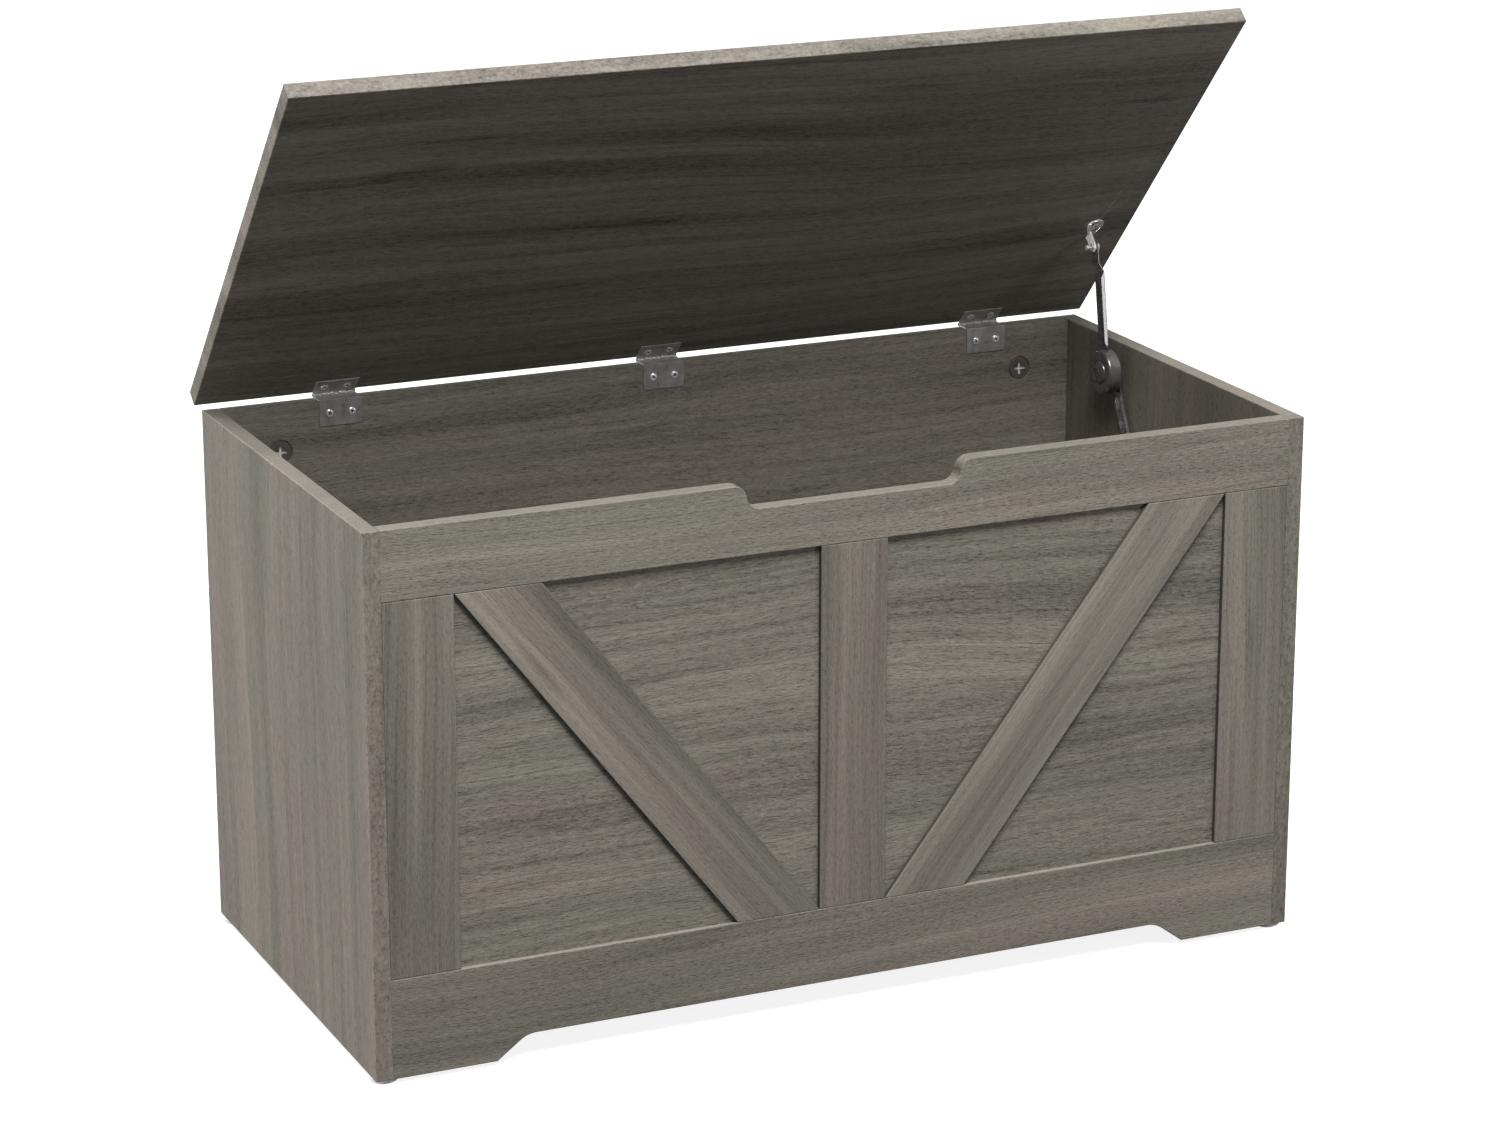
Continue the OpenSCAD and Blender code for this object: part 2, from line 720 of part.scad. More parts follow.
// The upper arm: cranked towards the panel just below the lid pivot
module stay_upper_arm() {
    flange_start = crank_end + 2;
    flange_stop = arm_l - hub_r - 2;
    color(steel_colour) in_frame() beside_panel(lid_pivot, upper_bearing) difference() {
        union() {
            translate([0, 0, tab_web]) linear_extrude(stay_t) {
                circle(r = tab_end_r);
                translate([0, -arm_w / 2]) square([crank_start + 0.5, arm_w]);
            }
            translate([0, arm_w / 2, 0]) rotate([90, 0, 0]) linear_extrude(arm_w) polygon([
                [crank_start, tab_web], [crank_start, tab_web + stay_t], [crank_start + 0.5, tab_web + stay_t],
                [crank_end, upper_web + stay_t], [crank_end, upper_web], [crank_end - 0.5, upper_web]
            ]);
            translate([0, 0, upper_web]) linear_extrude(stay_t) {
                translate([arm_l, 0]) circle(r = arm_w * 0.75);
                translate([crank_end - 0.5, -arm_w / 2]) square([arm_l - crank_end + 0.5, arm_w]);
            }
            for (s = [-1, 1]) translate([flange_start, s * (arm_w - flange_t) / 2 - flange_t / 2, upper_web])
                cube([flange_stop - flange_start, flange_t, flange_h]);
        }
        translate([0, 0, tab_web - 1]) cylinder(h = stay_t + 2, r = rivet_r + running_gap);
        translate([arm_l, 0, upper_web - 1]) cylinder(h = stay_t + 2, r = hub_rivet_r);
    }
}

// The hub: a cup over the end of the upper arm, with its friction pack
module stay_hub_housing() {
    color(dark_colour) in_frame() beside_panel(hub, upper_bearing + 180) difference() {
        translate([0, 0, hub_back]) cylinder(h = hub_front - hub_back, r = hub_r);
        translate([0, 0, hub_back - 1]) cylinder(h = hub_front - hub_back - hub_wall + 1, r = hub_r - hub_wall);
        translate([0, -arm_w / 2 - hub_disc_gap, hub_back - 1])
            cube([hub_r + 1, arm_w + 2 * hub_disc_gap, upper_web + stay_t - hub_back + 1]);
        cylinder(h = hub_front + 1, r = hub_rivet_r);
    }
}
module stay_hub_cap() {
    color(dark_colour) in_frame() beside_panel(hub, upper_bearing) {
        translate([0, 0, hub_front]) cylinder(h = hub_cap_t, r = hub_cap_r);
        translate([0, 0, hub_front + hub_cap_t]) cylinder(h = hub_dot_t, r = hub_dot_r);
    }
}
module hub_disc(from, t, r, bore) {
    in_frame() beside_panel(hub, upper_bearing) translate([0, 0, from]) difference() {
        cylinder(h = t, r = r);
        translate([0, 0, -1]) cylinder(h = t + 2, r = bore);
    }
}
module stay_hub_base() { color(dark_colour) hub_disc(hub_back, base_disc_t, hub_r - hub_wall - hub_disc_gap, hub_rivet_r); }
module stay_friction_disc() {
    color([0.5, 0.42, 0.3]) hub_disc(upper_web + stay_t, friction_t, hub_r - hub_wall - 1, hub_rivet_r);
}
module stay_spring_washer() {
    color(bright_colour) hub_disc(upper_web + stay_t + friction_t, spring_t, hub_r - hub_wall - 4, hub_rivet_r + 3);
}
module stay_hub_rivet() {
    color(bright_colour) in_frame() beside_panel(hub, upper_bearing)
        translate([0, 0, hub_back]) cylinder(h = hub_front - hub_back, r = hub_rivet_r);
}

// On the lid: foot and ear are one bent plate
module stay_lid_bracket() {
    ear_w = inner_x - ear_back - bracket_t;
    color(steel_colour) on_lid() difference() {
        union() {
            translate([0, 0, lid_z - bracket_t]) linear_extrude(bracket_t) {
                taper_2d([inner_x - foot_w, axis_y - foot_screw_reach], foot_r,
                    [ear_w + foot_tip_r, axis_y - lid_pivot_reach], foot_tip_r);
                translate([ear_w, axis_y - lid_pivot_reach - ear_half]) square([2 * foot_tip_r, 2 * ear_half]);
            }
            translate([inner_x, lid_pivot_shut[0], lid_pivot_shut[1]]) rotate([0, -90, 0])
                translate([0, 0, ear_back]) linear_extrude(bracket_t) {
                    circle(r = ear_r);
                    polygon([[0, -ear_r], [lid_pivot_drop, -ear_half], [lid_pivot_drop, ear_half], [0, ear_r]]);
                }
        }
        translate([0, lid_pivot_shut[0], lid_pivot_shut[1]]) bar_x(ear_w - 1, inner_x, rivet_r);
        at_foot_screw() translate([0, 0, -1]) cylinder(h = bracket_t + 2, r = screw_r + screw_gap);
    }
}

// Turns in the arm, pressed into the ear, and stands out on the inner side
module stay_lid_pin() {
    front = ear_back + bracket_t;
    head = tab_web - moving_gap;
    color(bright_colour) on_lid() translate([inner_x, lid_pivot_shut[0], lid_pivot_shut[1]]) rotate([0, -90, 0]) {
        translate([0, 0, head - rivet_head_t]) cylinder(h = rivet_head_t, r = rivet_head_r);
        translate([0, 0, head]) cylinder(h = front - head, r = rivet_r);
        translate([0, 0, front]) cylinder(h = pin_collar_t, r = pin_collar_r);
        translate([0, 0, front + pin_collar_t]) cylinder(h = pin_neck_l, r = pin_neck_r);
        translate([0, 0, front + pin_collar_t + pin_neck_l]) cylinder(h = pin_end_l, r = pin_end_r);
    }
}
module stay_lid_screw() {
    color(bright_colour) on_lid() at_foot_screw() translate([0, 0, bracket_t]) screw(screw_head_h / 2, screw_head_h / 4);
}

// ---- Output -------------------------------------------------------------

left_side_panel();
right_side_panel();
back_panel();
base_panel();
front_infill_panel();
top_rail();
bottom_rail();
left_stile();
centre_stile();
right_stile();
left_brace();
right_brace();
floor_glides();
glide_nails();
cam_locks();
cam_bolts();
wooden_dowels();
left_hinge_body_leaf();
middle_hinge_body_leaf();
right_hinge_body_leaf();
left_hinge_pin();
middle_hinge_pin();
right_hinge_pin();
hinge_body_screws();
stay_side_bracket();
stay_side_rivet();
stay_side_screws();
lid_panel();
left_hinge_lid_leaf();
middle_hinge_lid_leaf();
right_hinge_lid_leaf();
hinge_lid_screws();
stay_lid_bracket();
stay_lid_pin();
stay_lid_screw();
stay_upper_arm();
stay_hub_housing();
stay_hub_cap();
stay_hub_base();
stay_friction_disc();
stay_spring_washer();
stay_hub_rivet();
stay_lower_arm();
stay_lower_rivet();
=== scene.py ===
"""A grey oak toy box with a braced front. Its lid stands open on a folding stay.

Every size is in metres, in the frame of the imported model: +X right, +Y back, +Z up, the floor at z = 0.
The front of the box faces -Y, and its lid hangs on three hinges along the back.
"""
import json
import math

import bmesh
import bpy
import numpy as np
from mathutils import Euler, Matrix, Vector

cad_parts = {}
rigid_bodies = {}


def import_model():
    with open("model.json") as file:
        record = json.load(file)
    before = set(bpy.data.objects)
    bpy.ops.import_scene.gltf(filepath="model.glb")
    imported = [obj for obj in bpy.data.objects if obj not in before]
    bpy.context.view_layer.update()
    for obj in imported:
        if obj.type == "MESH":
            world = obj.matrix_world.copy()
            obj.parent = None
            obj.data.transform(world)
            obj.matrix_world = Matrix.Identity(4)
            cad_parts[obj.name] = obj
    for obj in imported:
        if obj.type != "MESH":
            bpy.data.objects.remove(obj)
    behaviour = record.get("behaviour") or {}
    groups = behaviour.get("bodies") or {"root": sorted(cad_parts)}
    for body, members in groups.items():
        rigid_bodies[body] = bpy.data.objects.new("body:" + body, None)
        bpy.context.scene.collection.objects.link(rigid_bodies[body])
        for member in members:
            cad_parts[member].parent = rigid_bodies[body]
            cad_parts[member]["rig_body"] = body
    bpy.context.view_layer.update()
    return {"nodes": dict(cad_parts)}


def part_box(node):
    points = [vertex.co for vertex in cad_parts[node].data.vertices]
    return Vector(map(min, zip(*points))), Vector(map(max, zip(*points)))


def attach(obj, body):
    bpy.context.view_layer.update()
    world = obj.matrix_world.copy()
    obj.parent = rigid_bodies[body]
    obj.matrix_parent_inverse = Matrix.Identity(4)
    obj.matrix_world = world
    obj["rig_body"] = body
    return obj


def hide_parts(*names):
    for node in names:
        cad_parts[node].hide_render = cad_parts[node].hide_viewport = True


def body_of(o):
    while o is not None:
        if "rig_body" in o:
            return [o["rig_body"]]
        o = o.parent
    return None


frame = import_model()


# ---------------------------------------------------------------- view
# The camera stands to the left of the front and a little above the open lid, looking down at the box.
# It is levelled, with no shift and everything in focus.
camera_data = bpy.data.cameras.new("studio_camera")
camera_data.lens = 103.2
camera_data.sensor_width = 36.0
camera = bpy.data.objects.new("studio_camera", camera_data)
camera.location = (-1.5044, -3.3230, 1.4444)
look_down = math.radians(16.85)
look_right = math.radians(24.38)
camera.rotation_euler = Euler((math.pi / 2 - look_down, 0.0, -look_right))
bpy.context.collection.objects.link(camera)
bpy.context.scene.camera = camera
bpy.context.scene.view_settings.view_transform = "Standard"


# ---------------------------------------------------------------- studio
# A pale matt floor, one broad soft light from above the front, small low ones left, right and behind, and a
# faint even sky. The floor looks near white to the camera but throws little light back on the box.
def plain_material(name):
    """A material with a Principled BSDF, and that shader."""
    made = bpy.data.materials.new(name)
    made.use_nodes = True
    return made, made.node_tree.nodes["Principled BSDF"]


floor_half = 30.0
floor_mesh = bpy.data.meshes.new("studio_floor")
floor_mesh.from_pydata([(-floor_half, -floor_half, 0), (floor_half, -floor_half, 0),
                        (floor_half, floor_half, 0), (-floor_half, floor_half, 0)], [], [(0, 1, 2, 3)])
floor = bpy.data.objects.new("studio_floor", floor_mesh)
bpy.context.collection.objects.link(floor)
floor_paper, floor_shader = plain_material("floor_paper")
floor_shader.inputs["Base Color"].default_value = (0.10, 0.10, 0.10, 1)
floor_shader.inputs["Roughness"].default_value = 0.9
floor_shader.inputs["Specular IOR Level"].default_value = 0.0
nodes, links = floor_paper.node_tree.nodes, floor_paper.node_tree.links
seen = nodes.new("ShaderNodeLightPath")
bright = nodes.new("ShaderNodeAddShader")
paper = nodes.new("ShaderNodeBsdfDiffuse")
paper.inputs["Color"].default_value = (0.5, 0.5, 0.5, 1)
glow = nodes.new("ShaderNodeEmission")
glow.inputs["Strength"].default_value = 0.86
links.new(paper.outputs[0], bright.inputs[0])
links.new(glow.outputs[0], bright.inputs[1])
choose = nodes.new("ShaderNodeMixShader")
links.new(seen.outputs["Is Camera Ray"], choose.inputs[0])
links.new(floor_shader.outputs[0], choose.inputs[1])
links.new(bright.outputs[0], choose.inputs[2])
links.new(choose.outputs[0], nodes["Material Output"].inputs["Surface"])
floor_mesh.materials.append(floor_paper)

room = bpy.data.worlds.new("studio_room")
room.use_nodes = True
room.node_tree.nodes["Background"].inputs["Color"].default_value = (1.0, 0.99, 0.97, 1)
room.node_tree.nodes["Background"].inputs["Strength"].default_value = 0.27
bpy.context.scene.world = room


def soft_light(name, place, aim, size, power):
    """A square area light of the given side that faces the point it is aimed at."""
    data = bpy.data.lights.new(name, "AREA")
    data.size = size
    data.energy = power
    lamp = bpy.data.objects.new(name, data)
    lamp.location = place
    lamp.rotation_mode = "QUATERNION"
    lamp.rotation_quaternion = (Vector(aim) - Vector(place)).to_track_quat("-Z", "Y")
    bpy.context.collection.objects.link(lamp)


soft_light("light_above", (-0.5, -2.4, 4.5), (0, 0, 0.3), 2.3, 370.0)
soft_light("light_left", (-3.7, 0.3, 0.25), (0, 0, 0.3), 0.45, 95.0)
soft_light("light_back", (-1.4, 3.8, 1.6), (0, 0, 0.3), 1.8, 70.0)
soft_light("light_right", (2.6, -3.4, 0.9), (0.2, 0, 0.5), 1.2, 20.0)


# ---------------------------------------------------------------- boards
# Chipboard faced on every side with a printed grey oak laminate, pressed with pores that follow the print.
# The boards meet in cam locks and dowels; stiles and braces are thinner strips glued to the infill panel.
def group_socket(tree, name, way, kind, value=None):
    """Adds one named input or output to a shader node group."""
    made = tree.interface.new_socket(name=name, in_out=way, socket_type=kind)
    if value is not None:
        made.default_value = value


class Wiring:
    """Short calls that add one node each to a shader tree and return its output."""

    def __init__(self, tree):
        self.tree = tree

    def node(self, kind, **settings):
        made = self.tree.nodes.new(kind)
        for key, value in settings.items():
            setattr(made, key, value)
        return made

    def feed(self, socket, value):
        if isinstance(value, bpy.types.NodeSocket):
            self.tree.links.new(value, socket)
        else:
            socket.default_value = value

    def math(self, operation, a, b=0.0, c=0.0):
        made = self.node("ShaderNodeMath", operation=operation)
        for socket, value in zip(made.inputs, (a, b, c)):
            self.feed(socket, value)
        return made.outputs[0]

    def spread(self, value, low, high, to_low=0.0, to_high=1.0):
        """Maps low..high to to_low..to_high, clamped, with soft ends."""
        made = self.node("ShaderNodeMapRange", interpolation_type="SMOOTHSTEP")
        for socket, v in zip(made.inputs, (value, low, high, to_low, to_high)):
            self.feed(socket, v)
        return made.outputs[0]

    def noise(self, vector, scale, detail, rough):
        made = self.node("ShaderNodeTexNoise")
        self.feed(made.inputs["Vector"], vector)
        self.feed(made.inputs["Scale"], scale)
        self.feed(made.inputs["Detail"], detail)
        self.feed(made.inputs["Roughness"], rough)
        return made.outputs["Fac"]

    def stretch(self, x, y, z, sx, sy, sz, shift=0.0):
        """Joins three numbers to a vector, each times its own scale."""
        joined = self.node("ShaderNodeCombineXYZ")
        self.feed(joined.inputs[0], self.math("MULTIPLY_ADD", x, sx, shift))
        self.feed(joined.inputs[1], self.math("MULTIPLY_ADD", y, sy, shift))
        self.feed(joined.inputs[2], self.math("MULTIPLY", z, sz))
        return joined.outputs[0]

    def mix(self, share, a, b, blend="MIX"):
        made = self.node("ShaderNodeMix", data_type="RGBA", blend_type=blend)
        self.feed(made.inputs[0], share)
        self.feed(made.inputs[6], a)
        self.feed(made.inputs[7], b)
        return made.outputs[2]


def build_laminate_group():
    """Printed oak laminate. Grain runs along X of the given vector, the face's width along Y, in metres.

    The width is first pushed about by slow noise, so that every streak flows and forks together. On it lie
    broad streaks that swing between a green grey and a warm brown, narrow streaks, sparse dark growth lines,
    soft dark flares and two sizes of short pressed pores. Height is the depth of pores and growth lines.
    """
    tree = bpy.data.node_groups.new("oak_laminate", "ShaderNodeTree")
    group_socket(tree, "Vector", "INPUT", "NodeSocketVector")
    group_socket(tree, "Seed", "INPUT", "NodeSocketFloat", 0.0)
    group_socket(tree, "Flow", "INPUT", "NodeSocketFloat", 1.0)
    group_socket(tree, "Streaks", "INPUT", "NodeSocketFloat", 1.0)
    group_socket(tree, "Pores", "INPUT", "NodeSocketFloat", 1.0)
    group_socket(tree, "Green grey", "INPUT", "NodeSocketColor", (0.16, 0.155, 0.13, 1))
    group_socket(tree, "Warm brown", "INPUT", "NodeSocketColor", (0.19, 0.165, 0.145, 1))
    group_socket(tree, "Color", "OUTPUT", "NodeSocketColor")
    group_socket(tree, "Roughness", "OUTPUT", "NodeSocketFloat")
    group_socket(tree, "Height", "OUTPUT", "NodeSocketFloat")
    w = Wiring(tree)
    given = w.node("NodeGroupInput")
    parts = w.node("ShaderNodeSeparateXYZ")
    w.feed(parts.inputs[0], given.outputs["Vector"])
    x, y, z = parts.outputs
    seed, flow, streaks, pores = (given.outputs[n] for n in ("Seed", "Flow", "Streaks", "Pores"))

    # the flow of the grain: how far each streak is pushed across the face
    slow = w.noise(w.stretch(x, y, z, 1.1, 3.2, 2.0, seed), 1.0, 1.0, 0.4)
    quick = w.noise(w.stretch(x, y, z, 4.0, 12.0, 4.0, seed), 1.0, 2.0, 0.5)
    push = w.math("MULTIPLY_ADD", w.math("SUBTRACT", slow, 0.5), 0.13,
                  w.math("MULTIPLY", w.math("SUBTRACT", quick, 0.5), 0.020))
    across = w.math("MULTIPLY_ADD", push, flow, y)

    # streaks and lines
    broad = w.noise(w.stretch(x, across, z, 1.1, 26.0, 6.0, seed), 1.0, 3.0, 0.6)
    hue = w.noise(w.stretch(x, across, z, 1.5, 24.0, 8.0, w.math("ADD", seed, 7.3)), 1.0, 3.0, 0.6)
    narrow = w.noise(w.stretch(x, across, z, 2.4, 170.0, 20.0, seed), 1.0, 3.0, 0.65)
    thread = w.noise(w.stretch(x, across, z, 5.0, 560.0, 60.0, seed), 1.0, 2.0, 0.6)
    flare = w.noise(w.stretch(x, across, z, 6.5, 62.0, 10.0, w.math("ADD", seed, 3.1)), 1.0, 2.0, 0.5)
    line = w.noise(w.stretch(x, across, z, 1.8, 80.0, 14.0, w.math("ADD", seed, 11.7)), 1.0, 1.0, 0.5)
    growth = w.math("SUBTRACT", 1.0, w.spread(w.math("ABSOLUTE", w.math("SUBTRACT", line, 0.5)), 0.0, 0.03))
    growth = w.math("MULTIPLY", growth, w.spread(broad, 0.42, 0.60, 0.0, 1.0))

    # pores: short dashes that lie along the flow
    coarse = w.noise(w.stretch(x, across, z, 150.0, 760.0, 300.0, seed), 1.0, 2.0, 0.65)
    fine = w.noise(w.stretch(x, across, z, 330.0, 1500.0, 600.0, seed), 1.0, 1.0, 0.5)
    dash = w.spread(coarse, 0.52, 0.68)
    rise = w.spread(coarse, 0.32, 0.48, 1.0, 0.0)
    pressed = w.math("MULTIPLY_ADD", dash, -0.34, w.math("MULTIPLY", rise, 0.30))
    pressed = w.math("MULTIPLY_ADD", w.math("SUBTRACT", fine, 0.5), 0.8, pressed)

    tone = w.mix(w.spread(hue, 0.34, 0.66), given.outputs["Green grey"], given.outputs["Warm brown"])
    value = w.math("MULTIPLY", w.math("SUBTRACT", broad, 0.5), 1.8)
    value = w.math("MULTIPLY_ADD", w.math("SUBTRACT", narrow, 0.5), 0.80, value)
    value = w.math("MULTIPLY_ADD", w.math("SUBTRACT", thread, 0.5), 0.42, value)
    value = w.math("MULTIPLY_ADD", w.spread(flare, 0.62, 0.80), -0.36, value)
    value = w.math("MULTIPLY_ADD", growth, -0.20, value)
    value = w.math("MULTIPLY_ADD", value, streaks, 1.0)
    value = w.math("MULTIPLY_ADD", pressed, pores, value)
    grey = w.node("ShaderNodeCombineColor")
    for socket in grey.inputs:
        w.feed(socket, value)
    done = w.node("NodeGroupOutput")
    w.feed(done.inputs["Color"], w.mix(1.0, tone, grey.outputs[0], "MULTIPLY"))
    w.feed(done.inputs["Roughness"], w.math("MULTIPLY_ADD", dash, 0.16,
                                            w.math("MULTIPLY_ADD", narrow, 0.12, 0.42)))
    depth = w.math("MULTIPLY_ADD", dash, -1.0, w.math("MULTIPLY", fine, 0.35))
    w.feed(done.inputs["Height"], w.math("MULTIPLY_ADD", growth, -0.4, depth))
    return tree


laminate_group = build_laminate_group()


def laminate(name, along, across, seed, flow, streaks, pores, rim=0.0, band=0.0):
    """The laminate of one board, its grain along one direction and its width along another.

    A strip's raw edges, which face left and right, are painted darker by the share rim: painted shade in the
    recess beside the strip. An edge that faces up is painted paler and plainer by the share band: painted
    light from above.
    """
    made, shader = plain_material(name)
    w = Wiring(made.node_tree)
    along, across = Vector(along).normalized(), Vector(across).normalized()
    turn = Matrix((along, across, along.cross(across))).to_euler("XYZ")
    place = w.node("ShaderNodeTexCoord")
    turned = w.node("ShaderNodeMapping")
    turned.inputs["Rotation"].default_value = turn
    turned.inputs["Location"].default_value = (seed * 0.37, seed * 0.11, 0.0)
    w.feed(turned.inputs["Vector"], place.outputs["Object"])
    grain = w.node("ShaderNodeGroup", node_tree=laminate_group)
    w.feed(grain.inputs["Vector"], turned.outputs[0])
    for socket, value in (("Seed", seed), ("Flow", flow), ("Streaks", streaks), ("Pores", pores)):
        grain.inputs[socket].default_value = value
    grain.inputs["Green grey"].default_value = (0.160, 0.150, 0.124, 1)
    grain.inputs["Warm brown"].default_value = (0.186, 0.1625, 0.138, 1)
    colour = grain.outputs["Color"]
    facing = w.node("ShaderNodeSeparateXYZ")
    w.feed(facing.inputs[0], place.outputs["Normal"])
    if rim:
        # Painted shade: faces that point neither front nor back are mixed towards near black by the share
        # rim.
        shaded_side = w.spread(w.math("ABSOLUTE", facing.outputs[1]), 0.3, 0.8, 1.0, 0.0)
        colour = w.mix(w.math("MULTIPLY", shaded_side, rim), colour, (0.03, 0.026, 0.022, 1))
    if band:
        # Painted light: faces that point up are mixed towards a pale plain colour by the share band.
        lit_top = w.spread(facing.outputs[2], 0.4, 0.8)
        colour = w.mix(w.math("MULTIPLY", lit_top, band), colour, (0.30, 0.27, 0.24, 1))
    w.feed(shader.inputs["Base Color"], colour)
    w.feed(shader.inputs["Roughness"], grain.outputs["Roughness"])
    shader.inputs["Specular IOR Level"].default_value = 0.38
    bump = w.node("ShaderNodeBump")
    bump.inputs["Strength"].default_value = 0.6
    bump.inputs["Distance"].default_value = 0.0003
    w.feed(bump.inputs["Height"], grain.outputs["Height"])
    w.feed(shader.inputs["Normal"], bump.outputs[0])
    return made


def dress(node, material):
    """Gives a CAD node one material."""
    slots = frame["nodes"][node].data.materials
    slots.clear()
    slots.append(material)


def soften(node, radius):
    """Joins a CAD node's loose triangles and rounds its sharp edges."""
    piece = frame["nodes"][node]
    weld = piece.modifiers.new("join", "WELD")
    weld.merge_threshold = 1e-5
    flats = piece.modifiers.new("flats", "DECIMATE")
    flats.decimate_type = "DISSOLVE"
    flats.angle_limit = math.radians(0.5)
    bevel = piece.modifiers.new("arris", "BEVEL")
    bevel.width = radius
    bevel.segments = 2
    bevel.limit_method = "ANGLE"
    bevel.angle_limit = math.radians(35)
    bevel.use_clamp_overlap = False


right, back, up = (1, 0, 0), (0, 1, 0), (0, 0, 1)
board_arris = 0.0008
lid_open = math.radians(48)
lid_across = (0, -math.cos(lid_open), math.sin(lid_open))
brace_width = 0.0605
brace_low, brace_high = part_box("right_brace")
brace_rise = brace_high[2] - brace_low[2]
brace_run = math.sqrt((brace_high[0] - brace_low[0]) ** 2 + brace_rise ** 2 - brace_width ** 2)
brace_tilt = math.atan2(brace_rise, brace_high[0] - brace_low[0]) + math.atan2(brace_width, brace_run)
rise, run = math.sin(brace_tilt), math.cos(brace_tilt)
# The last two numbers, where given, are rim, painted shade on a strip's side faces, and band, painted light
# on faces that point up.
boards = {
    "left_side_panel": (up, back, 1.7, 0.5, 0.6, 0.8, 0.0, 0.45),
    "right_side_panel": (up, back, 4.9, 0.5, 0.6, 0.8, 0.0, 0.45),
    "back_panel": (right, up, 8.3, 0.6, 0.8, 1.0),
    "base_panel": (right, back, 12.1, 0.6, 0.8, 1.0),
    "front_infill_panel": (right, up, 15.4, 0.8, 1.0, 1.0),
    "top_rail": (right, up, 19.2, 0.6, 0.75, 1.0, 0.0, 0.45),
    "bottom_rail": (right, up, 23.5, 0.6, 0.75, 0.9, 0.0, 0.6),
    "left_stile": (up, right, 27.8, 0.4, 0.9, 0.45, 0.8),
    "centre_stile": (up, right, 31.3, 0.4, 0.9, 0.45, 0.8),
    "right_stile": (up, right, 35.6, 0.4, 0.9, 0.45, 0.8),
    "left_brace": ((run, 0, -rise), (rise, 0, run), 39.9, 0.4, 1.0, 0.4, 0.8),
    "right_brace": ((run, 0, rise), (-rise, 0, run), 43.2, 0.4, 1.0, 0.4, 0.8),
    "lid_panel": (right, lid_across, 47.7, 0.7, 1.1, 0.9),
}
for node, grain_of_board in boards.items():
    dress(node, laminate("laminate_" + node, *grain_of_board))
    soften(node, board_arris)


# ---------------------------------------------------------------- hinges
# Each leaf is 1 mm nickel plated strip, folded over the back panel or screwed flat under the lid, with its
# knuckles rolled round a steel pin. Pan head screws with cross recesses hold them.
def build_metal_group():
    """Plated strip: fine brushing along Z of the given vector, slow clouds of sheen and a few small dents."""
    tree = bpy.data.node_groups.new("plated_strip", "ShaderNodeTree")
    group_socket(tree, "Vector", "INPUT", "NodeSocketVector")
    group_socket(tree, "Bright", "INPUT", "NodeSocketColor", (0.5, 0.5, 0.5, 1))
    group_socket(tree, "Dull", "INPUT", "NodeSocketColor", (0.3, 0.3, 0.3, 1))
    group_socket(tree, "Polish", "INPUT", "NodeSocketFloat", 0.3)
    group_socket(tree, "Color", "OUTPUT", "NodeSocketColor")
    group_socket(tree, "Roughness", "OUTPUT", "NodeSocketFloat")
    group_socket(tree, "Height", "OUTPUT", "NodeSocketFloat")
    w = Wiring(tree)
    given = w.node("NodeGroupInput")
    parts = w.node("ShaderNodeSeparateXYZ")
    w.feed(parts.inputs[0], given.outputs["Vector"])
    x, y, z = parts.outputs
    brushed = w.noise(w.stretch(x, y, z, 1800.0, 1800.0, 60.0), 1.0, 3.0, 0.6)
    cloud = w.noise(given.outputs["Vector"], 90.0, 3.0, 0.6)
    dents = w.noise(given.outputs["Vector"], 420.0, 2.0, 0.5)
    share = w.math("MULTIPLY_ADD", w.math("SUBTRACT", brushed, 0.5), 0.5, cloud)
    done = w.node("NodeGroupOutput")
    w.feed(done.inputs["Color"], w.mix(w.spread(share, 0.3, 0.7), given.outputs["Dull"],
                                       given.outputs["Bright"]))
    w.feed(done.inputs["Roughness"], w.math("MULTIPLY_ADD", w.math("SUBTRACT", cloud, 0.5), 0.22,
                                            w.math("MULTIPLY_ADD", brushed, 0.06, given.outputs["Polish"])))
    w.feed(done.inputs["Height"], w.math("MULTIPLY_ADD", brushed, 0.3, dents))
    return tree


metal_group = build_metal_group()


def metal(name, bright, dull, polish, metallic=1.0, cut=None):
    """A plated or painted metal. The recess in its "cut" attribute takes the given colour: painted shade if
    dark, a glint if pale.
    """
    made, shader = plain_material(name)
    w = Wiring(made.node_tree)
    place = w.node("ShaderNodeTexCoord")
    plate = w.node("ShaderNodeGroup", node_tree=metal_group)
    w.feed(plate.inputs["Vector"], place.outputs["Object"])
    plate.inputs["Bright"].default_value = tuple(bright) + (1,)
    plate.inputs["Dull"].default_value = tuple(dull) + (1,)
    plate.inputs["Polish"].default_value = polish
    colour = plate.outputs["Color"]
    if cut:
        # Painted light in the recess: the given colour, dark for shade or pale for a glint, blends in with
        # the depth of the cut.
        recess = w.node("ShaderNodeAttribute", attribute_name="cut")
        colour = w.mix(recess.outputs["Fac"], colour, tuple(cut) + (1,))
    w.feed(shader.inputs["Base Color"], colour)
    w.feed(shader.inputs["Roughness"], plate.outputs["Roughness"])
    shader.inputs["Metallic"].default_value = metallic
    bump = w.node("ShaderNodeBump")
    bump.inputs["Strength"].default_value = 0.12
    bump.inputs["Distance"].default_value = 0.0001
    w.feed(bump.inputs["Height"], plate.outputs["Height"])
    w.feed(shader.inputs["Normal"], bump.outputs[0])
    return made


hinge_metal = metal("nickel_strip", (0.46, 0.445, 0.43), (0.34, 0.33, 0.32), 0.28, metallic=0.55)
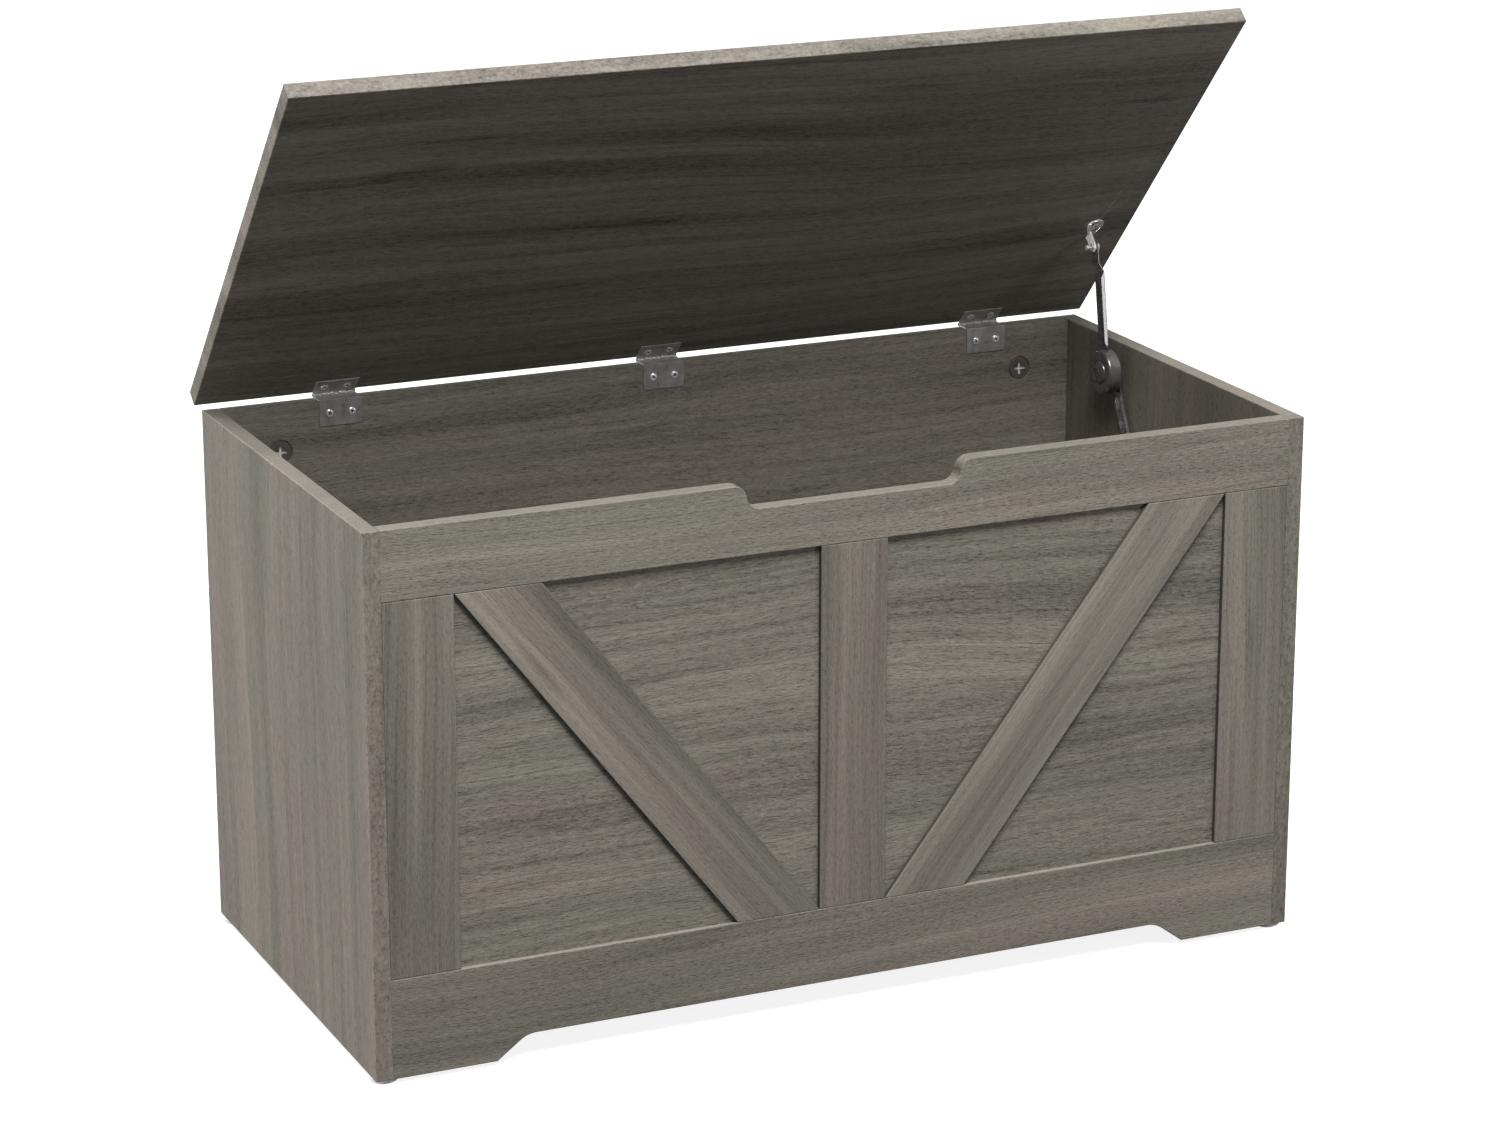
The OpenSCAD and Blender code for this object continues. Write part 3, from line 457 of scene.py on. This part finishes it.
# The cross recesses of the screw heads are painted near black: painted shade.
screw_metal = metal("bright_zinc", (0.88, 0.87, 0.85), (0.68, 0.67, 0.655), 0.16,
                    metallic=0.5, cut=(0.02, 0.02, 0.02))
pin_metal = metal("steel_wire", (0.62, 0.61, 0.60), (0.42, 0.415, 0.41), 0.22)
for side in ("left", "middle", "right"):
    for leaf in ("body_leaf", "lid_leaf"):
        dress(side + "_hinge_" + leaf, hinge_metal)
        soften(side + "_hinge_" + leaf, 0.00025)
    dress(side + "_hinge_pin", pin_metal)


def turned(profile, face_rows=0, cut=None, steps=40):
    """A profile of (radius, height) rows carried round the local Z axis.

    Point (i, j) is (radius_i cos a_j, radius_i sin a_j, height_i) with a_j = 2 pi j / steps. The first
    face_rows rows lie on the end face. There the height is lowered by cut(x, y), kept for the material.
    """
    radius, height = np.asarray(profile, dtype=float).T
    angle = np.linspace(0.0, 2.0 * np.pi, steps, endpoint=False)
    x = radius[:, None] * np.cos(angle)
    y = radius[:, None] * np.sin(angle)
    z = height[:, None] + np.zeros_like(angle)
    depth = np.zeros_like(x)
    if cut:
        depth[:face_rows] = cut(x[:face_rows], y[:face_rows])
    return np.stack([x, y, z - depth], axis=-1), depth


def set_at(origin, axis, first):
    """A 4 x 4 placing: local Z along the axis, local X along the first direction, at the origin."""
    axis, first = Vector(axis).normalized(), Vector(first).normalized()
    placing = Matrix((first, axis.cross(first), axis)).transposed().to_4x4()
    placing.translation = Vector(origin)
    return np.array(placing)


def add_piece(name, material, surfaces, node, stands_for=True):
    """Joins closed-round surfaces, each with its placing and the depth of its cut, to one piece.

    The piece stands for a CAD node, or only rides with it. Its finish is the given material.
    Neighbouring rows make quads and the first and last rows one face each. Poles are merged and the faces
    made to point outwards.
    """
    points, faces, cuts, first = [], [], [], 0
    for (grid, depth), placing in surfaces:
        rows, columns = grid.shape[:2]
        flat = np.c_[grid.reshape(-1, 3), np.ones(rows * columns)]
        points.append((flat @ placing.T)[:, :3])
        cuts.append(depth.ravel() / max(depth.max(), 1e-9))
        i, j = np.meshgrid(np.arange(rows - 1), np.arange(columns), indexing="ij")
        k = (j + 1) % columns
        around = np.stack([i * columns + j, i * columns + k, (i + 1) * columns + k,
                           (i + 1) * columns + j], axis=-1)
        faces.append((first + around.reshape(-1, 4)).tolist())
        if np.ptp(grid[0], axis=0).max() > 1e-6:
            faces.append([list(range(first, first + columns)),
                          list(range(first + (rows - 1) * columns, first + rows * columns))])
        first += rows * columns
    mesh = bpy.data.meshes.new(name)
    mesh.from_pydata(np.concatenate(points).tolist(), [], sum(faces, []))
    mesh.attributes.new("cut", "FLOAT", "POINT").data.foreach_set("value", np.concatenate(cuts))
    shape = bmesh.new()
    shape.from_mesh(mesh)
    bmesh.ops.remove_doubles(shape, verts=shape.verts, dist=1e-7)
    bmesh.ops.recalc_face_normals(shape, faces=shape.faces)
    shape.to_mesh(mesh)
    shape.free()
    mesh.shade_smooth()
    mesh.set_sharp_from_angle(angle=math.radians(35))
    mesh.materials.append(material)
    piece = bpy.data.objects.new(name, mesh)
    bpy.context.collection.objects.link(piece)
    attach(piece, body_of(frame["nodes"][node])[0])
    if stands_for:
        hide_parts(node)
    return piece


def cross_cut(length, width, depth):
    """A cross recess: two bars with slanting walls and a cone at the middle, as a depth at each point."""
    def at(x, y):
        wide = np.minimum(np.abs(x), np.abs(y))
        long = np.maximum(np.abs(x), np.abs(y))
        bars = np.clip((width / 2 - wide) / (width * 0.25), 0, 1) * np.clip((length / 2 - long) / width, 0, 1)
        return depth * np.maximum(bars, np.clip(1.5 - 2.0 * np.hypot(x, y) / width, 0, 1))
    return at


screw_radius = 0.0015
screw_length = 0.012


def screw_profile(radius, height):
    """A pan head: a flattened crown that turns over a tight rim and drops to the strip, then the shank."""
    crown = np.linspace(0.0, 1.0, 15)
    top = np.c_[radius * crown, height * (1.0 - 0.45 * crown ** 4)]
    rim = np.array([[radius, height * 0.4], [radius * 0.98, 0.0]])
    shank = np.array([[screw_radius, 0.0], [screw_radius, 0.002 - screw_length],
                      [0.0, -screw_length]])
    return np.r_[top, rim, shank], len(top)


leaf_thick = 0.001
screw_pitch = 0.021
head_radius = 0.0035
lid_screw_reach = 0.010
back_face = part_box("back_panel")[0][1]
hinge_places = [0.5 * (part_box(s + "_hinge_body_leaf")[0][0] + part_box(s + "_hinge_body_leaf")[1][0])
                for s in ("left", "middle", "right")]
body_screw_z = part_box("left_side_panel")[1][2] - 0.0115
profile, face_rows = screw_profile(head_radius, 0.0016)
head = turned(profile, face_rows, cross_cut(0.0046, 0.0012, 0.0008))
add_piece("body_leaf_screws", screw_metal, [
    (head, set_at((x + s * screw_pitch / 2, back_face - leaf_thick, body_screw_z), (0, -1, 0),
                  (math.cos(x * 9 + s), 0, math.sin(x * 9 + s))))
    for x in hinge_places for s in (-1, 1)], "hinge_body_screws")

axis_y, axis_z = 0.205371, 0.4795
lid_under = axis_z + 0.0015
lid_turn = Matrix.Translation((0, axis_y, axis_z)) @ Matrix.Rotation(-lid_open, 4, "X") \
    @ Matrix.Translation((0, -axis_y, -axis_z))


def on_lid(placing):
    """Carries a placing on the shut lid up with the open lid."""
    return np.array(lid_turn) @ placing


profile, face_rows = screw_profile(head_radius, 0.0006)
flat_head = turned(profile, face_rows, cross_cut(0.0044, 0.0011, 0.0004))
add_piece("lid_leaf_screws", screw_metal, [
    (flat_head, on_lid(set_at((x + s * screw_pitch / 2, axis_y - lid_screw_reach, lid_under - leaf_thick),
                              (0, 0, -1), (math.cos(x * 5 + s), math.sin(x * 5 + s), 0))))
    for x in hinge_places for s in (-1, 1)], "hinge_lid_screws")


# ---------------------------------------------------------------- lid stay
# Two pressed steel channel arms joined by a friction hub of grey moulded nylon. The lower arm turns on a
# bracket on the side panel, the upper one on a pressed foot under the lid.
stay_metal = metal("stay_steel", (0.30, 0.292, 0.285), (0.21, 0.205, 0.20), 0.24, metallic=0.85)
bracket_metal = metal("bracket_steel", (0.90, 0.89, 0.87), (0.78, 0.77, 0.75), 0.34, metallic=0.15)
for node in ("stay_side_bracket", "stay_lid_bracket"):
    dress(node, bracket_metal)
    soften(node, 0.0003)
for node in ("stay_side_rivet", "stay_lower_rivet", "stay_lid_pin", "stay_hub_rivet", "stay_spring_washer",
             "stay_side_screws"):
    dress(node, screw_metal)
    soften(node, 0.00025)

panel_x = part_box("right_side_panel")[0][0]
hub_y, hub_z = 0.090045, 0.450565
arm_length, arm_width, strip = 0.117, 0.012, 0.0012
arm_end, fold = 0.009, 0.0009
side_pivot_y, side_pivot_z, lower_bearing = 0.037840, 0.345858, 63.5
lid_pivot_y, lid_pivot_z, upper_bearing = 0.109356, 0.565961, -99.5


def channel(along, half, web, flange):
    """A pressed channel: one section for each place along the arm, with rounded folds below its two flanges.

    The section's outline runs round the outside and back along the inside. Its corners are at plus and minus
    the half width, on the web, and at the web plus the strip plus the flange; the folds are quarter circles.
    """
    bend = np.linspace(0.0, np.pi / 2, 5)
    side = np.r_[-1, -1, -np.ones(5), np.ones(5), 1, 1, 1, 1, -1, -1]
    inner = np.r_[0, 0, np.zeros(10), 0, 0, 1, 1, 1, 1]
    raised = np.r_[1, 0.5, np.zeros(10), 0.5, 1, 1, 0, 0, 1]
    over = np.r_[1, 1, np.zeros(10), 1, 1, 1, 1, 1, 1]
    round_u = np.r_[0, 0, fold * (1 - np.cos(bend)), -fold * (1 - np.cos(bend[::-1])), 0, 0, 0, 0, 0, 0]
    round_v = np.r_[0, 0, fold * (1 - np.sin(bend)), fold * (1 - np.sin(bend[::-1])), 0, 0, 0, 0, 0, 0]
    along, half, web, flange = (np.asarray(v, dtype=float)[:, None] for v in (along, half, web, flange))
    share = np.clip(half / arm_width * 2, 0.05, 1)
    across = side * (half - inner * strip * share) + round_u * share
    height = web + over * strip + raised * flange + round_v
    grid = np.stack([along + 0 * across, across, height], axis=-1)
    return grid, np.zeros(grid.shape[:2])


def arm_half_width(along):
    """Half the width along an arm: a round end at the pivot, straight sides, a wider round end at the hub."""
    near = np.sqrt(np.clip((arm_width / 2) ** 2 - np.minimum(along, 0) ** 2, 1e-8, None))
    far = np.sqrt(np.clip(arm_end ** 2 - (along - arm_length) ** 2, 1e-8, None))
    return np.where(along < 0.06, near, np.where(along < arm_length, np.maximum(near, far), far))


def beside_panel(y, z, bearing):
    """Local X along the bearing in the side view, local Z inwards from the right side panel."""
    turn = math.radians(bearing)
    return set_at((panel_x, y, z), (-1, 0, 0), (0, math.cos(turn), math.sin(turn)))


ends = np.sin(np.linspace(0, np.pi / 2, 9))
near_end = (arm_width / 2) * (ends - 1)
far_end = arm_length + arm_end * ends
lower_run = np.r_[near_end, 0.008, 0.010, 0.013, np.linspace(0.02, 0.085, 6), 0.0895, 0.0925, 0.104, far_end]
lower_flange = np.interp(lower_run, [0.009, 0.013, 0.0885, 0.0925], [0, 0.0023, 0.0023, 0])
lower_web = 0.0035 + 0 * lower_run
add_piece("lower_arm", stay_metal, [(channel(lower_run, arm_half_width(lower_run), lower_web, lower_flange),
                                    beside_panel(side_pivot_y, side_pivot_z, lower_bearing))],
          "stay_lower_arm")
upper_run = np.r_[near_end, 0.010, 0.015, 0.0155, np.linspace(0.017, 0.021, 3), 0.0225, 0.023, 0.025, 0.029,
                  np.linspace(0.035, 0.085, 6), 0.0905, 0.0945, 0.104, far_end]
upper_flange = np.interp(upper_run, [0.0245, 0.0285, 0.0905, 0.0945], [0, 0.0028, 0.0028, 0])
upper_web = np.interp(upper_run, [0.015, 0.023], [0.0155, 0.0110])
add_piece("upper_arm", stay_metal, [(channel(upper_run, arm_half_width(upper_run), upper_web, upper_flange),
                                    beside_panel(lid_pivot_y, lid_pivot_z, upper_bearing))],
          "stay_upper_arm")
hub_back, hub_face, hub_radius = 0.0074, 0.0194, 0.0205
hub_wall, cap_radius, cap_thick, dot_radius, dot_thick = 0.002, 0.010, 0.0006, 0.0016, 0.0004
rim_round = 0.0022
nylon = metal("grey_nylon", (0.24, 0.233, 0.227), (0.18, 0.175, 0.17), 0.26, metallic=0.7)
hub_frame = set_at((panel_x, hub_y, hub_z), (-1, 0, 0), (0, 0, 1))
quarter = np.linspace(0.0, np.pi / 2, 9)
rounded = np.c_[hub_radius - rim_round + rim_round * np.sin(quarter),
                hub_face - rim_round + rim_round * np.cos(quarter)]
groove = np.array([[0.003, hub_face], [cap_radius + 0.0002, hub_face],
                   [cap_radius + 0.0004, hub_face - 0.0006],
                   [cap_radius + 0.0012, hub_face - 0.0006], [cap_radius + 0.0015, hub_face]])
inside = np.array([[hub_radius, hub_back], [hub_radius - hub_wall, hub_back],
                   [hub_radius - hub_wall, hub_face - hub_wall], [0.003, hub_face - hub_wall],
                   [0.003, hub_face]])
add_piece("hub_housing", nylon, [(turned(np.r_[groove, rounded, inside]), hub_frame)],
          "stay_hub_housing")
cap_top = hub_face + cap_thick
add_piece("hub_cap", nylon, [(turned([
    [0.0, cap_top + dot_thick], [dot_radius * 0.7, cap_top + dot_thick],
    [dot_radius, cap_top + dot_thick * 0.4],
    [dot_radius, cap_top], [dot_radius + 0.0004, cap_top - 0.0001], [cap_radius - 0.0005, cap_top],
    [cap_radius - 0.0001, cap_top - 0.0002], [cap_radius, hub_face], [0.0, hub_face]]), hub_frame)],
    "stay_hub_cap")
dress("stay_hub_base", nylon)

profile, face_rows = screw_profile(head_radius, 0.0008)
foot_head = turned(profile, face_rows, cross_cut(0.0044, 0.0011, 0.0004))
foot_x, foot_y, foot_plate = panel_x - 0.016, axis_y - 0.143, 0.0015
add_piece("lid_foot_screw", screw_metal, [(foot_head, on_lid(set_at(
    (foot_x, foot_y, lid_under - foot_plate), (0, 0, -1), (0.8, 0.6, 0))))],
          "stay_lid_screw")

tip_x, tip_y = panel_x - 0.0161, axis_y - 0.1285
foot_radius, tip_radius, bead = 0.0072, 0.0017, 0.0006
lean = math.atan2(tip_y - foot_y, tip_x - foot_x)
spread_angle = math.acos((foot_radius - tip_radius) / math.hypot(tip_x - foot_x, tip_y - foot_y))


def pear_bead():
    """A half-round bead round the foot: a circle carried along two arcs joined by their tangents."""
    wide = lean + np.linspace(spread_angle, 2 * np.pi - spread_angle, 40)
    tight = lean + np.linspace(-spread_angle, spread_angle, 14)
    centre_x = np.r_[foot_x + foot_radius * np.cos(wide), tip_x + tip_radius * np.cos(tight)]
    centre_y = np.r_[foot_y + foot_radius * np.sin(wide), tip_y + tip_radius * np.sin(tight)]
    out = np.r_[wide, tight]
    round_angle = np.linspace(0, 2 * np.pi, 10, endpoint=False)[:, None]
    grid = np.stack([centre_x + bead * np.cos(round_angle) * np.cos(out),
                     centre_y + bead * np.cos(round_angle) * np.sin(out),
                     lid_under - foot_plate + bead * np.sin(round_angle) + 0 * out], axis=-1)
    return np.concatenate([grid, grid[:1]]), np.zeros((11, len(out)))


bead_metal = metal("pressed_bead", (0.78, 0.77, 0.75), (0.60, 0.59, 0.575), 0.2, metallic=0.7)
add_piece("foot_rim", bead_metal, [(pear_bead(), on_lid(np.eye(4)))],
          "stay_lid_bracket", stands_for=False)


# ---------------------------------------------------------------- cam locks, bolts and dowels
# Dark zinc cam locks turn in blind pockets in the boards and draw in the bright bolts; beech dowels line up
# the joints.
# The cross recesses of the cams are painted pale: a painted glint.
cam_metal = metal("dark_zinc", (0.135, 0.124, 0.113), (0.10, 0.092, 0.085), 0.36, metallic=0.2,
                  cut=(0.85, 0.84, 0.82))
cam_radius, cam_depth, cam_across = 0.0103, 0.0123, 0.3685
face = cam_radius - 0.0004
cam_profile = np.r_[np.c_[np.linspace(0, face, 34), np.zeros(34)],
                    [[cam_radius, -0.0004], [cam_radius, -cam_depth], [0.0, -cam_depth]]]
cam = turned(cam_profile, 34, cross_cut(0.012, 0.0026, 0.002), steps=80)
rail_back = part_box("top_rail")[1][1]
base_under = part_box("base_panel")[0][2]
floor_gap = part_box("left_side_panel")[0][2]
side_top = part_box("left_side_panel")[1][2]
front_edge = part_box("left_side_panel")[0][1]
base_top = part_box("base_panel")[1][2]
back_cam_drop, back_cam_rise = 0.043, 0.030
rail_cam_drop, rail_cam_rise = 0.025, 0.022
base_cam_front, base_cam_back = 0.090, 0.075
cam_places = [((back_face, side_top - back_cam_drop), "front"),
              ((back_face, base_top + back_cam_rise), "front"),
              ((rail_back, side_top - rail_cam_drop), "back"),
              ((rail_back, floor_gap + rail_cam_rise), "back"),
              ((front_edge + base_cam_front, base_under), "down"),
              ((back_face - base_cam_back, base_under), "down")]
cam_axis = {"front": (0, -1, 0), "back": (0, 1, 0), "down": (0, 0, -1)}
add_piece("cam_faces", cam_metal, [
    (cam, set_at((x, y, z), cam_axis[way], (1, 0, 0)))
    for (y, z), way in cam_places for x in (-cam_across, cam_across)], "cam_locks")
dress("cam_bolts", screw_metal)


def beech_wood():
    """Pale beech with short brown flecks along the dowel, which lies along X."""
    made, shader = plain_material("beech")
    w = Wiring(made.node_tree)
    place = w.node("ShaderNodeTexCoord")
    parts = w.node("ShaderNodeSeparateXYZ")
    w.feed(parts.inputs[0], place.outputs["Object"])
    x, y, z = parts.outputs
    fleck = w.noise(w.stretch(x, y, z, 160.0, 1500.0, 1500.0), 1.0, 2.0, 0.6)
    band = w.noise(w.stretch(x, y, z, 20.0, 420.0, 420.0), 1.0, 2.0, 0.5)
    base = w.mix(w.spread(band, 0.3, 0.7), (0.50, 0.34, 0.19, 1), (0.62, 0.45, 0.28, 1))
    w.feed(shader.inputs["Base Color"], w.mix(w.spread(fleck, 0.6, 0.72), base, (0.33, 0.19, 0.09, 1)))
    w.feed(shader.inputs["Roughness"], w.math("MULTIPLY_ADD", fleck, 0.2, 0.5))
    return made


dress("wooden_dowels", beech_wood())


def pressed_fibre():
    """Brown friction fibre: fine felted speckle."""
    made, shader = plain_material("friction_fibre")
    w = Wiring(made.node_tree)
    place = w.node("ShaderNodeTexCoord")
    speck = w.noise(place.outputs["Object"], 1600.0, 3.0, 0.7)
    w.feed(shader.inputs["Base Color"], w.mix(w.spread(speck, 0.35, 0.65), (0.14, 0.10, 0.06, 1),
                                              (0.30, 0.22, 0.14, 1)))
    w.feed(shader.inputs["Roughness"], w.math("MULTIPLY_ADD", speck, 0.2, 0.7))
    return made


dress("stay_friction_disc", pressed_fibre())


# ---------------------------------------------------------------- floor glides
# White polythene glides, turned down to a narrower foot and nailed under the side panels.
def polythene():
    """Milky moulded plastic, a little cloudy, scuffed grey where it slides on the floor."""
    made, shader = plain_material("white_polythene")
    w = Wiring(made.node_tree)
    place = w.node("ShaderNodeTexCoord")
    cloud = w.noise(place.outputs["Object"], 180.0, 3.0, 0.6)
    parts = w.node("ShaderNodeSeparateXYZ")
    w.feed(parts.inputs[0], place.outputs["Object"])
    scuff = w.math("MULTIPLY", w.spread(parts.outputs[2], 0.0, 0.0012, 1.0, 0.0), w.spread(cloud, 0.4, 0.6))
    clean = w.mix(cloud, (0.74, 0.74, 0.72, 1), (0.84, 0.84, 0.83, 1))
    w.feed(shader.inputs["Base Color"], w.mix(scuff, clean, (0.45, 0.44, 0.42, 1)))
    w.feed(shader.inputs["Roughness"], w.math("MULTIPLY_ADD", cloud, 0.2, 0.32))
    return made


white_plastic = polythene()
glide_radius, glide_height, glide_skirt, glide_rise = 0.01225, 0.005, 0.0026, 0.0018
low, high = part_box("floor_glides")
glide_profile = [[0.0, 0.002], [0.0013, 0.002], [0.0016, 0.0], [glide_radius - glide_skirt - 0.0005, 0.0],
                 [glide_radius - glide_skirt, 0.0002], [glide_radius - 0.0003, glide_rise - 0.0003],
                 [glide_radius, glide_rise + 0.0003], [glide_radius, glide_height - 0.0004],
                 [glide_radius - 0.0004, glide_height], [0.0, glide_height]]
add_piece("glides", white_plastic, [
    (turned(glide_profile), set_at((x, y, 0.0), (0, 0, 1), (1, 0, 0)))
    for x in (low[0] + glide_radius, high[0] - glide_radius)
    for y in (low[1] + glide_radius, high[1] - glide_radius)], "floor_glides")
dress("glide_nails", screw_metal)
